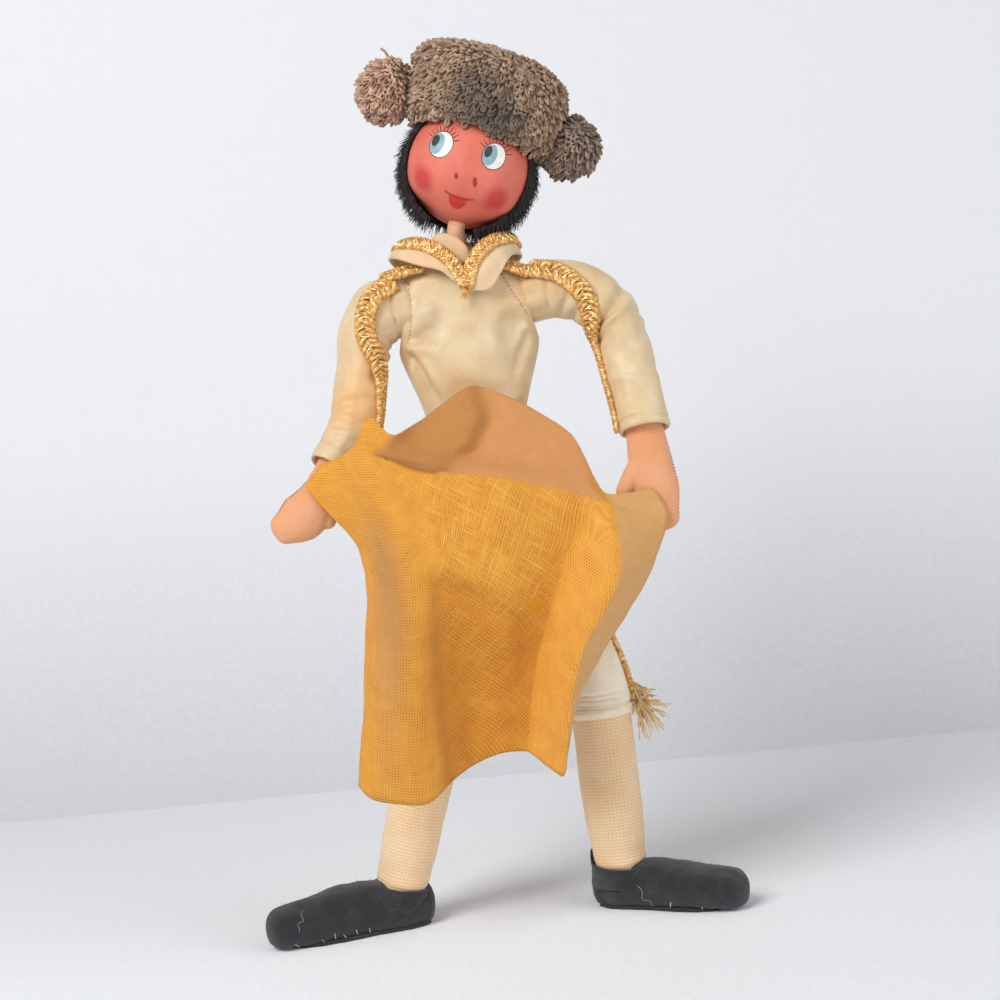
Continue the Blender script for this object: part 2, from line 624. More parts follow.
def rounded(bm, voxel, name):
    """Joins overlapping closed forms into one skin and softens the join."""
    bmesh.ops.transform(bm, matrix=TO_FRAME, verts=bm.verts)
    rough = bpy.data.meshes.new(name + "_rough")
    bm.to_mesh(rough)
    bm.free()
    holder = bpy.data.objects.new(name + "_rough", rough)
    remesh = holder.modifiers.new("join", "REMESH")
    remesh.mode = "VOXEL"
    remesh.voxel_size = voxel / 1000
    soften = holder.modifiers.new("soften", "SMOOTH")
    soften.iterations = 8
    return settled(holder)


print("hand lines", len(HANDS), "thread", thread.name)

# %% Hands
for side, sign in SIDES:
    hand = HANDS[side]
    bm = skin(hand, hoops(30, end_dome=3), 40, folds(5 + sign, 0.35))
    root = hand.at(0.4, -90, -3.5)
    tip = hand.at(0.5, -90, -0.8) if side == "right" else hand.at(0.66, -80, 2.6)
    thumb = Limb([(*root, 2.9), (*root.lerp(tip, 0.5), 2.9), (*tip, 2.6)])
    extra = skin(thumb, hoops(10, start_dome=1, end_dome=2.6), 24)
    joined = bpy.data.meshes.new("thumb")
    extra.to_mesh(joined)
    extra.free()
    bm.from_mesh(joined)
    mesh = rounded(bm, 0.45, "hand")
    layer = mesh.uv_layers.new(name="UVMap")
    for loop in mesh.loops:
        spot = mesh.vertices[loop.vertex_index].co * 1000
        layer.data[loop.index].uv = (spot.x + 0.3 * spot.y, spot.z)
    piece = place_mesh("jersey_hand_" + side, mesh, jersey, "forearm_" + side, ["hand_" + side])
    stitches = []
    for k in range(HAND_STITCHES):
        t = 0.3 + 0.69 * k / (HAND_STITCHES - 1)
        stitches.append([hand.at(t, 76, 0), hand.at(t + 0.006, 90, 0.05), hand.at(t + 0.012, 102, 0)])
    threads("hand_seam_" + side, stitches, 0.16, thread, "forearm_" + side)
    print(piece.name, len(piece.data.vertices), "vertices")

# %% [markdown]
# ## Legs
# The breeches are cotton tubes that swell over the stuffing and end in a narrow band below the knee. Each is one
# mesh that blends between thigh and shin. The stocking comes out of the band and goes down into the slipper.

# %% Leg lines
KNEE = 72
HEM = 66
LEGS = {"right": (-20.5, -38.0), "left": (30.5, 32.7)}


def on_shin(side, height):
    """A place on the straight line from knee to ankle, and on, by its height."""
    knee_x, ankle_x = LEGS[side]
    return Vector((knee_x + (ankle_x - knee_x) * (KNEE - height) / 56, 0, height))


print("knees at", [round(on_shin(side, KNEE).x, 1) for side, _ in SIDES])

# %% Breeches and stockings
thighs, bands, shins = {}, {}, {}
for side, sign in SIDES:
    hip, knee = Vector((sign * 11, 0, 128)), on_shin(side, KNEE)
    thigh = Limb([(*hip, 10), (*hip.lerp(knee, 0.5), 10.5), (*knee, 10.1), (*on_shin(side, HEM), 10.3)], -sign)
    thighs[side] = thigh
    leg_folds = folds(8 + sign, 0.45, (0.74, 0.03, 0, 80, -0.5, 0.02), (0.84, 0.02, -20, 80, -0.4, -0.03),
                      (0.955, 0.007, 0, 400, -0.45, 0))
    bm = skin(thigh, hoops(70, start_dome=9.5) + [(1, 0.96, 0.4), (1, 0.9, 0.2), (1, 0.88, -2)], 56, leg_folds)
    leg = place_piece("cotton_breeches_" + side, bm, cotton, None,
                      ["breeches_leg_" + side, "breeches_knee_" + side])
    knee_blend[side] = ("thigh_" + side, "shin_" + side,
                        TO_FRAME @ (knee + Vector((0, 0, 9))), TO_FRAME @ (knee - Vector((0, 0, 5))))
    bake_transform(leg)
    band = Limb([(*on_shin(side, HEM - h), r) for h, r in ((0.2, 10.5), (1.6, 10.95), (3.2, 10.5))], -sign)
    bm = skin(band, [(0, 0.9, 0)] + hoops(8) + [(1, 0.9, 0)], 64, folds(3, 0.2))
    bands[side] = band
    piece = place_piece("knee_band_cloth_" + side, bm, cotton, "shin_" + side, ["knee_band_" + side])
    shin = Limb([(*on_shin(side, h), r) for h, r in ((69, 8.6), (60, 9.6), (41, 9.6), (16, 8.4), (8, 6.7))], -sign)
    shins[side] = shin
    bm = skin(shin, hoops(60, end_dome=3), 56, folds(11 + sign, 0.3, (0.72, 0.02, 0, 90, -0.4, 0.02),
                                                   (0.78, 0.02, 20, 90, 0.35, -0.02)))
    piece = place_piece("knit_stocking_" + side, bm, stockinet, "shin_" + side, ["stocking_" + side])
    print(leg.name, len(leg.data.vertices), piece.name, len(piece.data.vertices))

# %% [markdown]
# ## Gold braid
# The trim is a crocheted cord of orange-gold yarn with a metallic thread in it. It is laid as five fat strands that
# cross each other, the way a plait does: each one swings from side to side and dips under the next. Two thin bright
# threads run with them and catch the light. A length that crosses a joint blends there, like the cloth under it.

# %% Braid finish
gold = mottled_finish("gold_crochet_yarn", 1.3, [(0.3, "#B07434"), (0.5, "#DAA458"), (0.68, "#F6D79C")], 3.0,
                      Roughness=0.5, Metallic=0.25)
twist = node(gold, "TexWave", {
    "Vector": node(gold, "TexCoord").outputs["Object"], "Scale": per_metre(0.5) * 0.05, "Distortion": 3.0},
             bands_direction="DIAGONAL").outputs["Fac"]
wire_up(gold, Normal=node(gold, "Bump", {"Height": twist, "Strength": 0.5, "Distance": 0.0002}).outputs[0])
tinsel = mottled_finish("metallic_thread", 0.8, [(0.4, "#D9A24C"), (0.6, "#FFE9B8")], Roughness=0.22, Metallic=1.0)
print("braid finish", gold.name, tinsel.name)

# %% Plaiting
BRAID_STEP = 0.42


def route_on(surface, stops, steps=160):
    """Points and outward directions along a route of the surface's own two coordinates."""
    line = [Vector((a, b, 0)) for a, b in stops]
    spots = [spline(line, k / steps) for k in range(steps + 1)]
    points = [surface(p.x, p.y, 0.2) for p in spots]
    return points, [(surface(p.x, p.y, 1.2) - q).normalized() for p, q in zip(spots, points)]


def plait(name, points, outs, widths, body=None, stands_for=()):
    """Five crossing strands and two bright threads along the route, from the first width to the last."""
    lengths = [0.0]
    for a, b in zip(points, points[1:]):
        lengths.append(lengths[-1] + (b - a).length)
    steps = max(8, int(lengths[-1] / BRAID_STEP))
    yarns, bright = [[] for _ in range(5)], [[], []]
    turn = 0.0
    for k in range(steps + 1):
        far = lengths[-1] * k / steps
        j = max(i for i in range(len(lengths) - 1) if lengths[i] <= far + 1e-9)
        s = (far - lengths[j]) / max(lengths[j + 1] - lengths[j], 1e-9)
        centre, out = points[j].lerp(points[j + 1], s), outs[j].lerp(outs[j + 1], s)
        across = out.cross((points[j + 1] - points[j]).normalized()).normalized()
        width = widths[0] + (widths[1] - widths[0]) * ease(k / steps, 0.42, 0.6)
        turn += 2 * math.pi * lengths[-1] / steps / (width * 1.3)
        for phase, yarn in enumerate(yarns):
            angle = turn + 2 * math.pi * phase / len(yarns)
            yarn.append(centre + across * (width * 0.38 * math.sin(angle)) + out * (
                width * (0.1 + 0.09 * math.sin(2 * angle))))
        for phase, thread_line in enumerate(bright):
            angle = 1.5 * turn + math.pi * phase
            thread_line.append(centre + across * (width * 0.4 * math.sin(angle)) + out * (
                width * (0.21 + 0.09 * math.sin(2 * angle + 1))))
    piece = threads(name, yarns, widths[0] * 0.135, gold, body, stands_for, widths[1] / widths[0], 1)
    glint = threads(name + "_glint", bright, 0.28, tinsel, body)
    return piece, glint


print("plait helper ready, a point each", BRAID_STEP, "mm")

# %% Braid on the sleeves and legs
SLEEVE_ROUTES = {
    "right": [(0.06, 44), (0.17, 26), (0.32, 6), (0.44, -12), (0.6, -48), (0.8, -72), (0.97, -80)],
    "left": [(0.02, 45), (0.2, 15), (0.36, -25), (0.51, -68), (0.7, -84), (0.85, -86), (0.995, -86)],
}
OUTER_SEAM = 86
LEG_ROUTE = [(along, OUTER_SEAM) for along in (0.12, 0.5, 0.99)]
for side, sign in SIDES:
    on_arm = plait("sleeve_plait_" + side, *route_on(ARMS[side].at, SLEEVE_ROUTES[side]), (7.2, 4.2), None,
                   ["sleeve_braid_upper_" + side, "sleeve_braid_lower_" + side])
    on_leg = plait("breeches_plait_" + side, *route_on(thighs[side].at, LEG_ROUTE), (3.6, 4.6), None,
                   ["breeches_braid_" + side, "knee_braid_" + side])
    for lengths, bend in ((on_arm, elbow_blend), (on_leg, knee_blend)):
        for piece in lengths:
            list(bend[side])
            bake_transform(piece)
print("braids laid")

# %% [markdown]
# ## Tassels
# Where the leg braid ends, its strands are left loose and splay out like straw. Fewer than half of them hang from the
# knot; the others fray from the last stretch of the braid. The right tassel is shorter, to stay behind the cape.

# %% Tassels


def any_way(dice):
    """A small step in a random direction."""
    return Vector([dice.uniform(-1, 1) for _ in range(3)])


straw = mottled_finish("frayed_straw_yarn", 2.5, [(0.3, "#DDB074"), (0.5, "#F3D49C"), (0.7, "#FFF0C8")],
                       Roughness=0.6, Sheen_Weight=0.3)
TASSEL_STRANDS = 130
IN_KNOT = 55
dice = random.Random(7)
for side, sign in SIDES:
    knot = bands[side].at(0.3, OUTER_SEAM, 1.6)
    strands = []
    for k in range(TASSEL_STRANDS):
        root = knot if k < IN_KNOT else thighs[side].at(dice.uniform(0.72, 1), OUTER_SEAM, 1.2)
        aim = Vector((sign * dice.uniform(0.0, 0.9), dice.uniform(-0.6, 0.4), dice.uniform(-1.3, 0.2))).normalized()
        length = (dice.uniform(4, 12) if k < IN_KNOT else dice.uniform(3, 8)) * (1 if side == "left" else 0.5)
        curl = any_way(dice) * 1.3
        strands.append([root + aim * (length * s) + curl * s * s + Vector((0, 0, -1.5 * s * s))
                        for s in (0, 0.25, 0.5, 0.75, 1)])
    threads("straw_tassel_" + side, strands, 0.34, straw, "shin_" + side, ["tassel_" + side], taper=0.6)
    turns = [j * math.pi / 5 for j in range(11)]
    wraps = [[knot + Vector((sign * (0.6 + 0.5 * k), 0, -0.5 - 0.5 * k))
              + Vector((0.3 * math.cos(a), 1.3 * math.sin(a), 1.1 * math.cos(a))) for a in turns] for k in range(3)]
    threads("tassel_wrap_" + side, wraps, 0.3, gold, "shin_" + side)
print("tassels frayed")

# %% [markdown]
# ## Slippers
# The slippers are cut from black felt and whip stitched to a felt sole. Felt is matted wool: it has no weave, a dull
# face with loose hairs that catch lint, and an edge that frays. The upper is a stuffed form pressed flat on the ground,
# the sole a flat cut sheet set in under it, with an uneven edge, and a narrow felt rim stands round the ankle.

# %% Felt
felt = new_finish("black_wool_felt", Roughness=0.95, Sheen_Weight=0.2, Sheen_Roughness=0.6)
spot = node(felt, "TexCoord").outputs["Object"]
mat_hair = node(felt, "TexNoise", {"Vector": spot, "Scale": per_metre(0.7), "Detail": 5.0, "Roughness": 0.75})
patch = node(felt, "TexNoise", {"Vector": spot, "Scale": per_metre(7), "Detail": 3.0})
blend_tone = node(felt, "Math", {0: mat_hair.outputs["Fac"], 1: patch.outputs["Fac"]}, operation="MULTIPLY").outputs[0]
tone = node(felt, "ValToRGB", {"Fac": blend_tone}, [(0.12, "#131418"), (0.3, "#232429"), (0.42, "#3B3C41")])
bump = node(felt, "Bump", {"Height": mat_hair.outputs["Fac"], "Strength": 0.8, "Distance": 0.0005})
wire_up(felt, Base_Color=tone.outputs["Color"], Normal=bump.outputs[0])
lint = mottled_finish("pale_lint_and_thread", 3, [(0.4, "#B9B6AE"), (0.6, "#E6E3DA")], Roughness=0.8)
print("felt", felt.name)

# %% Slipper sizes
SHOE_LENGTHS = {"right": 56, "left": 52.5}
HEEL_BEHIND = 9.5
SHOE_WIDTH = 17
TOE_TURN = {"right": math.radians(20), "left": math.radians(28)}
INSTEP = {"right": 1.9, "left": 0}
# share of the shoe's length, height in millimetres and share of its width, from heel to toe
UPPER = ((0.07, 12.4, 0.78), (0.2, 13.6, 0.99), (0.42, 14.2, 0.96), (0.58, 13.6, 0.98), (0.75, 12.8, 1),
         (0.9, 12, 0.88))
# half of the sole's edge: share of its length, share of its half width
SOLE_EDGE = ((0, 0), (0.03, 0.55), (0.12, 0.86), (0.25, 0.93), (0.42, 0.88), (0.7, 1), (0.9, 0.8), (0.975, 0.46),
             (1, 0))
print("slippers are", SHOE_LENGTHS["right"], "and", SHOE_LENGTHS["left"], "mm long")

# %% Slipper forms


def pressed(spot):
    """Height of a place on the upper once its lower half is pressed flat on the ground."""
    low = max(0.0, min(1.0, (spot.z - 0.6) / 6))
    return max(0.3, spot.z - 6 * (low - low ** 1.9) + 0.5 * noise.noise(spot * 0.5) * (1 - low))


class Slipper:
    """Where one foot stands, which way its toe points, and the stuffed form of its upper."""

    def __init__(self, side, sign):
        self.ankle, self.length = on_shin(side, 16), SHOE_LENGTHS[side]
        self.toeward = Vector((sign * math.cos(TOE_TURN[side]), -math.sin(TOE_TURN[side]), 0))
        stations = []
        for share, tall, wide in UPPER:
            tall += INSTEP[side] * gauss(share - 0.5, 0.25)
            stations.append((*self.along(share, (tall + 1.6) / 2), (tall + 0.4) / 2, SHOE_WIDTH * wide / 2))
        self.upper = Limb(stations)

    def along(self, share, height):
        """A place above the middle of the sole, from heel to toe."""
        spot = self.ankle + self.toeward * (self.length * share - HEEL_BEHIND)
        return Vector((spot.x, spot.y, height))

    def at(self, share, angle, lift):
        """A place on the upper as it stands on the ground."""
        spot = self.upper.at(share, angle, lift)
        return Vector((spot.x, spot.y, pressed(spot)))


print("toe of a slipper at", [round(c, 1) for c in Slipper("left", 1).along(1, 0)])

# %% [markdown]
# Each slipper has a pressed upper, a sole, which is an uneven outline extruded and bevelled, and a rim. Then come the
# pale whip stitches that still show, one long loose fibre, and the short hairs of the felt.

# %% Soles and rims
SOLE_CUTS = 120


def only_verts(geom):
    """The vertices among what a bmesh operator returns."""
    return [part for part in geom if isinstance(part, bmesh.types.BMVert)]


def sole_sheet(foot, sign):
    """A flat sole with an uneven edge."""
    line = [Vector((foot.length * a - HEEL_BEHIND, SHOE_WIDTH / 2 * b, 0)) for a, b in SOLE_EDGE]
    line += [Vector((p.x, -p.y, 0)) for p in reversed(line[1:-1])] + [line[0]]
    across = Vector((0, 0, 1)).cross(foot.toeward)
    bm = bmesh.new()
    rim = bmesh.ops.create_circle(bm, segments=SOLE_CUTS, radius=1, cap_ends=True)["verts"]
    for k, v in enumerate(rim):
        p = spline(line, k / SOLE_CUTS)
        ragged = 0.83 + 0.05 * noise.noise(Vector((k * 0.35, sign * 5, 0)))
        v.co = Vector((foot.ankle.x, foot.ankle.y, 0)) + foot.toeward * (p.x * ragged) + across * (p.y * ragged)
    raised = bmesh.ops.extrude_face_region(bm, geom=list(bm.faces))["geom"]
    bmesh.ops.translate(bm, verts=only_verts(raised), vec=(0, 0, 1.0))
    bmesh.ops.recalc_face_normals(bm, faces=bm.faces)
    bmesh.ops.bevel(bm, geom=[e for e in bm.edges if abs(e.verts[0].co.z - e.verts[1].co.z) < 0.1], offset=0.4,
                    affect="EDGES", segments=2, profile=0.5, material=-1)
    return bm


def ankle_rim(foot, side, sign):
    """The felt that stands round the ankle, highest at the heel."""
    opening = Limb([(*on_shin(side, h), r) for h, r in ((7, 9.4), (10.5, 9.7), (13.6, 9.5))], -sign)
    rows = [(0, 0.85, 0)] + hoops(8) + [(1, 0.94, 0.4), (0.8, 0.9, 0), (0.4, 0.88, 0)]
    bm = skin(opening, rows, 64, folds(17, 0.5))
    for v in bm.verts:
        heelward = -(v.co - foot.ankle).dot(foot.toeward) / 9.6
        v.co.z += (1.2 * heelward + 4.5 * ease(heelward, 0.8, 1)) * ease(v.co.z, 8, 13)
    return bm


print("sole and rim helpers ready")

# %% Slippers
FELT_HAIRS = 420
STITCHES_LEFT = {"right": (0.4, 0.5, 0.59, 0.67, 0.75, 0.93), "left": (0.55, 0.8)}
LOOSE_FIBRE = {"right": (0.86, 40), "left": (0.34, 0)}
dice = random.Random(3)
for side, sign in SIDES:
    foot = Slipper(side, sign)
    bm = skin(foot.upper, hoops(44, start_dome=4, end_dome=5.6), 48, folds(14 + sign, 0.5))
    for v in bm.verts:
        v.co.z = pressed(v.co)
    shoe = place_piece("felt_slipper_" + side, bm, felt, "shin_" + side, ["shoe_" + side])
    place_piece("felt_sole_" + side, sole_sheet(foot, sign), felt, "shin_" + side, ["sole_" + side])
    place_piece("felt_ankle_rim_" + side, ankle_rim(foot, side, sign), felt, "shin_" + side)

    stitches, hairs = [], []
    up = -sign
    for t in STITCHES_LEFT[side]:
        lean, reach = dice.uniform(0.01, 0.035), dice.uniform(14, 26)
        stitches.append([foot.at(t + lean * s, up * (reach * s - 52), 0.12) for s in (0, 0.5, 1)])
    threads("whip_stitch_" + side, stitches, 0.17, lint, "shin_" + side)
    start, swing = LOOSE_FIBRE[side]
    fluff = [foot.at(start + 0.0035 * k + 0.012 * math.sin(0.5 * k),
                     up * (swing - 1.9 * k + 5 * math.cos(0.37 * k)), 0.2) for k in range(24)]
    threads("loose_fibre_" + side, [fluff], 0.05, lint, "shin_" + side)
    for _ in range(FELT_HAIRS):
        spot = foot.at(dice.uniform(0, 1), dice.uniform(0, 360), 0.0)
        if spot.z < 2:
            continue
        out = (spot - foot.along(0.45, 8)).normalized()
        aim = (out * 0.5 + any_way(dice)).normalized()
        hairs.append([spot - out * 0.2, spot + aim * dice.uniform(0.6, 1.5)])
    threads("felt_hairs_" + side, hairs, 0.05, felt, "shin_" + side, taper=0.5)
    print(shoe.name, "stitches", len(stitches), "hairs", len(hairs))

# %% [markdown]
# ## Cape
# The cape is a square of coarse linen sewn to both hands. Linen is spun from uneven fibre, so its threads swell into
# slubs, and the weave stays open enough to see. A picture of cloth would show that too, but waves that cross on UVs in
# millimetres stay sharp at any distance and follow the folds.

# %% Linen threads
linen = new_finish("mustard_slub_linen", Roughness=0.8, Sheen_Weight=0.06, Sheen_Roughness=0.5)
flat = node(linen, "UVMap", uv_map="UVMap").outputs[0]
# threads 0.85 mm apart, in the cloth's own directions; slubs are thick pale stretches of a thread
layers = []
for turn, strong in ((0.0, 0.24), (math.radians(42), 0.5)):
    lay = node(linen, "Mapping", {"Vector": flat, "Rotation": (0, 0, turn)}).outputs[0]
    stripes = {"Vector": lay, "Scale": 0.314 / 0.85, "Distortion": 1.2, "Detail": 1.0, "Detail Scale": 0.25}
    warp, weft = [node(linen, "TexWave", stripes, bands_direction=way).outputs["Fac"] for way in "XY"]
    slubs = [node(linen, "TexNoise", {
        "Vector": node(linen, "Mapping", {"Vector": lay, "Scale": stretch}).outputs[0],
        "Scale": 1.0, "Detail": 1.0}).outputs["Fac"] for stretch in ((1.5, 0.08, 1), (0.08, 1.5, 1))]
    weave = node(linen, "Math", {0: warp, 1: weft}, operation="ADD").outputs[0]
    slub = node(linen, "Math", {0: slubs[0], 1: slubs[1]}, operation="MAXIMUM").outputs[0]
    slub = node(linen, "Math", {0: slub, 1: strong, 2: 0.56 * (1 - strong)}, operation="MULTIPLY_ADD").outputs[0]
    layers.append((weave, slub))
bias = node(linen, "Attribute", attribute_name="bias").outputs["Fac"]
weave, slub = [node(linen, "Mix", {"Factor": bias, "A": a, "B": b}).outputs["Result"] for a, b in zip(*layers)]
tone = node(linen, "ValToRGB", {"Fac": slub}, [
    (0.45, "#D88F27"), (0.58, "#E8A439"), (0.68, "#F5BC55"), (0.78, "#FDD68A")]).outputs["Color"]
print("weaves of the linen", len(layers))

# %% [markdown]
# Sun has bleached some of the cloth and use has soiled some. Each such tone has a named attribute on the cloth. It is
# filled in when the cloth is laid, so that a fade can follow a fold.

# %% Fading of the linen
# where sun has bleached the cloth and where it has not: an attribute of the cloth and the colour it goes to
FADING = {"fade": "#BC8049", "blush": "#DB9A60", "pale": "#DAAA70", "deep": "#C4780C", "lit": "#F6B650",
          "shade": "#7E5228"}
for name, code in FADING.items():
    share = node(linen, "Attribute", attribute_name=name).outputs["Fac"]
    tone = node(linen, "Mix", {"Factor": share, "A": tone, "B": paint(code)}, data_type="RGBA").outputs["Result"]
for stain in (((12.6, -31, 102.5), 3.2, "#E3A00F", 0.9), ((-53, -25, 144), 12, "#E9A52C", 0.6)):
    tone = smudge(linen, tone, *stain)
gap = node(linen, "MapRange", {
    "Value": weave, "From Min": 0.2, "From Max": 1.1, "To Min": 0.85, "To Max": 0.0}).outputs[0]
# the weave is open in some places and matted in others, and bleached cloth shows less of it
matted = node(linen, "TexNoise", {"Vector": flat, "Scale": 1 / 6, "Detail": 2.0}).outputs["Fac"]
shown = [node(linen, "MapRange", {
    "Value": matted, "From Min": 0.35, "From Max": 0.65, "To Min": 0.35, "To Max": 1.0}).outputs[0]]
for name in ("fade", "pale"):
    share = node(linen, "Attribute", attribute_name=name).outputs["Fac"]
    shown.append(node(linen, "MapRange", {"Value": share, "To Min": 1.0, "To Max": 0.4}).outputs[0])
for share in shown:
    gap = node(linen, "Math", {0: gap, 1: share}, operation="MULTIPLY").outputs[0]
tone = node(linen, "Mix", {"Factor": gap, "A": tone, "B": paint("#C08E4E")}, data_type="RGBA",
            blend_type="MULTIPLY").outputs["Result"]
bump = node(linen, "Bump", {"Height": weave, "Strength": 0.32, "Distance": 0.0003}).outputs[0]
wire_up(linen, Base_Color=tone, Normal=bump)
print("linen", linen.name)

# %% [markdown]
# The cape bellies out between the hands, its top edge rises behind, a crest runs from hand to hand, and it falls in two
# deep folds to the hem. The drape is given as ten fold lines, each from the top edge over the crest to the hem, and a
# grid of cloth is laid over them. A simulated sheet would hang in folds of its own; the fold lines put each fold where
# the photograph shows it.

# %% Fold lines of the cape
HOLD_RIGHT = Vector((-50.2, -18.6, 147.4))
HOLD_LEFT = Vector((55.3, -14.5, 129.9))
HAND_FRONT = 5.35
# rows of (share of the way from hold to hold, how far in front, how far below), from the top edge to the hem
CAPE_FOLDS = [
    [(0.013, 0, -4.5), (-0.006, 0.8, -1.9), (-0.036, 1.2, 2.4),
     (0.104, 7, 20.6), (0.091, 12, 56.5), (0.039, 14, 92.9)],
    [(0.109, 1.6, -10.2), (0.087, 2.6, -8.2), (0.03, 3.2, -4.7),
     (0.132, 11, 20.4), (0.12, 17, 56.3), (0.076, 18, 95.9)],
    [(0.161, -0.5, -20.8), (0.144, 2.6, -13.2), (0.1, 5, -7.7),
     (0.183, 14.5, 20.1), (0.172, 20, 56.5), (0.147, 20, 96.6)],
    [(0.227, 2.5, -15.7), (0.189, 4, -10.8), (0.171, 6.6, -8.9),
     (0.251, 15.5, 20.5), (0.236, 18.5, 57.1), (0.231, 18, 96.4)],
    [(0.317, -4, -21.2), (0.289, -0.6, -12.4), (0.283, 7.5, -5.7),
     (0.32, 15, 22.5), (0.301, 12, 58.8), (0.31, 12, 89.7)],
    [(0.393, -6, -27.4), (0.387, -0.8, -11.5), (0.38, 8.6, -4.6),
     (0.393, 14, 26.6), (0.383, 5.2, 62.3), (0.376, 5, 85.6)],
    [(0.475, -6.5, -32.8), (0.53, -0.5, -11.3), (0.523, 8.8, -4.4),
     (0.52, 12.5, 30.8), (0.485, 5.2, 61.6), (0.458, 5, 81.6)],
    [(0.75, -6, -20), (0.759, -0.8, -9.3), (0.786, 6, -0.3),
     (0.687, 5.5, 22.8), (0.588, 4.5, 53.2), (0.535, 4.8, 80.5)],
    [(0.83, 1.5, -1.7), (0.833, 4, 0), (0.842, 6.4, 1.7),
     (0.844, 17, 21.4), (0.705, 20, 48.9), (0.631, 16.5, 85.8)],
    [(0.977, 0, -4.6), (1, -0.1, -1), (1.014, -0.3, 4),
     (0.944, 3, 21.2), (0.78, 4, 47.9), (0.638, 9, 71)],
]
fold_lines = [[HOLD_RIGHT.lerp(HOLD_LEFT, share) + Vector((0, -HAND_FRONT - front, -drop))
               for share, front, drop in fold] for fold in CAPE_FOLDS]
print("fold lines", len(fold_lines))

# %% [markdown]
# The grid has as many cells as the folds need to look soft. A place on it is taken along all fold lines first and then
# across them, and near the left hand it is drawn towards straight runs, because there the cloth is creased and not
# rounded. The same loop writes down where the cloth is faded, blushed, pale, deep, lit or grubby, for the finish.

# %% A grid of cloth
CAPE_CELLS = 104
bm = bmesh.new()
uv = bm.loops.layers.uv.new("UVMap")
shares = {name: bm.verts.layers.float.new(name) for name in ["bias", *FADING]}
bmesh.ops.create_grid(bm, x_segments=CAPE_CELLS, y_segments=CAPE_CELLS, size=0.5)
crossing = {}
for v in bm.verts:
    v.co += Vector((0.5, 0.5, 0))
    crossing[round(v.co.x * CAPE_CELLS), round(v.co.y * CAPE_CELLS)] = v


def flattened(points, t, flat):
    """A place on the line through the points, drawn by the share flat towards straight runs between them."""
    spans = len(points) - 1
    k = min(int(t * spans), spans - 1)
    return spline(points, t).lerp(points[k].lerp(points[k + 1], t * spans - k), flat)


def over_line(spot, line):
    """How far a spot lies to the left of a line that runs through some places; to the right counts below zero."""
    spot = Vector((spot.x, spot.z))
    places = [Vector(p) for p in line]
    off, start, end = min((beside_line(spot, p, q)[0], k, k + 1) for k, (p, q) in enumerate(zip(places, places[1:])))
    run, to_spot = places[end] - places[start], spot - places[start]
    return math.copysign(off, run.x * to_spot.y - run.y * to_spot.x)


print("cells of cloth each way", CAPE_CELLS)

# %% Laying the cloth
rows = [[flattened(line, 1 - b / CAPE_CELLS, 0.35 * ease(b / CAPE_CELLS, 0.3, 0.5)) for line in fold_lines]
        for b in range(CAPE_CELLS + 1)]
# two folds across the cloth, as (x, z): one below the belly of the front, one in the part that rises behind it
BELLY_FOLD = [(-27, 121), (-1.4, 107.6), (11, 98), (18, 93)]
RISING_FOLD = [(-24, 143), (-13.5, 146.7), (-2.6, 153.5), (2, 162.5), (-1, 173)]
for v in bm.verts:
    a, b = v.co.x, v.co.y
    behind = ease(b, 0.6, 0.615)
    peak = 0.5 * ease(b, 0.85, 1) * (1 - ease(a, 0.55, 0.66))
    v.co = flattened(rows[round(b * CAPE_CELLS)], a,
                     0.1 + 0.6 * ease(a, 0.65, 0.78) * (1 - 0.8 * behind) + peak * ease(a, 0.36, 0.44))
    under, left = over_line(v.co, BELLY_FOLD), over_line(v.co, RISING_FOLD)
    panel = behind * ease(a, 0.3, 0.36) * (1 - ease(a, 0.8, 0.86))
    front = (1 - behind) * ease(a, 0.38, 0.46) * (1 - ease(a, 0.765, 0.785))
    lobe = gauss(a - 0.19, 0.07) * ease(0.5 - b, 0, 0.1) * (1 - 0.6 * ease(0.2 - b, 0, 0.15))
    v[shares["bias"]] = (1 - behind) * ease(a, 0.4, 0.5) * (1 - ease(a, 0.765, 0.785))
    v[shares["fade"]] = 0.85 * panel + 0.75 * (1 - behind) * gauss(a - 0.21, 0.09) * gauss(b - 0.29, 0.13)
    v[shares["blush"]] = 0.75 * panel * ease(-left, -2, 7)
    v[shares["pale"]] = max(0.8 * ease(a, 0.885, 0.9), 0.3 * lobe)
    v[shares["shade"]] = (0.55 * panel * gauss(b - 0.625, 0.022) * gauss(a - 0.4, 0.11)
                          + 0.3 * (1 - behind) * gauss(a - 0.425, 0.035) * ease(0.42 - b, 0, 0.15)
                          + 0.28 * (1 - behind) * gauss(a - 0.2, 0.08) * gauss(b - 0.4, 0.12)
                          + 0.12 * (1 - behind) * gauss(a - 0.2, 0.08) * gauss(b - 0.12, 0.15))
    v[shares["deep"]] = 0.5 * front * ease(-under, -1, 5)
    v[shares["lit"]] = 0.3 * (1 - behind) * ease(a, 0.785, 0.8) * (1 - ease(a, 0.87, 0.885))
    v.co.y -= (front * ease(v.co.x, -26, -14) * (1 - ease(a, 0.69, 0.765))
               * (2.4 * gauss(under - 5, 6) - 2.2 * gauss(under + 2.5, 3.5)))
    v.co.y -= panel * (2.4 * ease(left, -2.5, 2.5) * gauss(left - 2, 10) - 1.4 * gauss(left + 3, 3))
print("cloth laid, crossings", len(crossing))

# %% [markdown]
# A weave looks right only if its threads keep their spacing over the folds, so the UVs are the lengths along the rows
# and columns of the laid cloth. A fine ripple takes the stiffness out, and the sheet gets its thickness last.

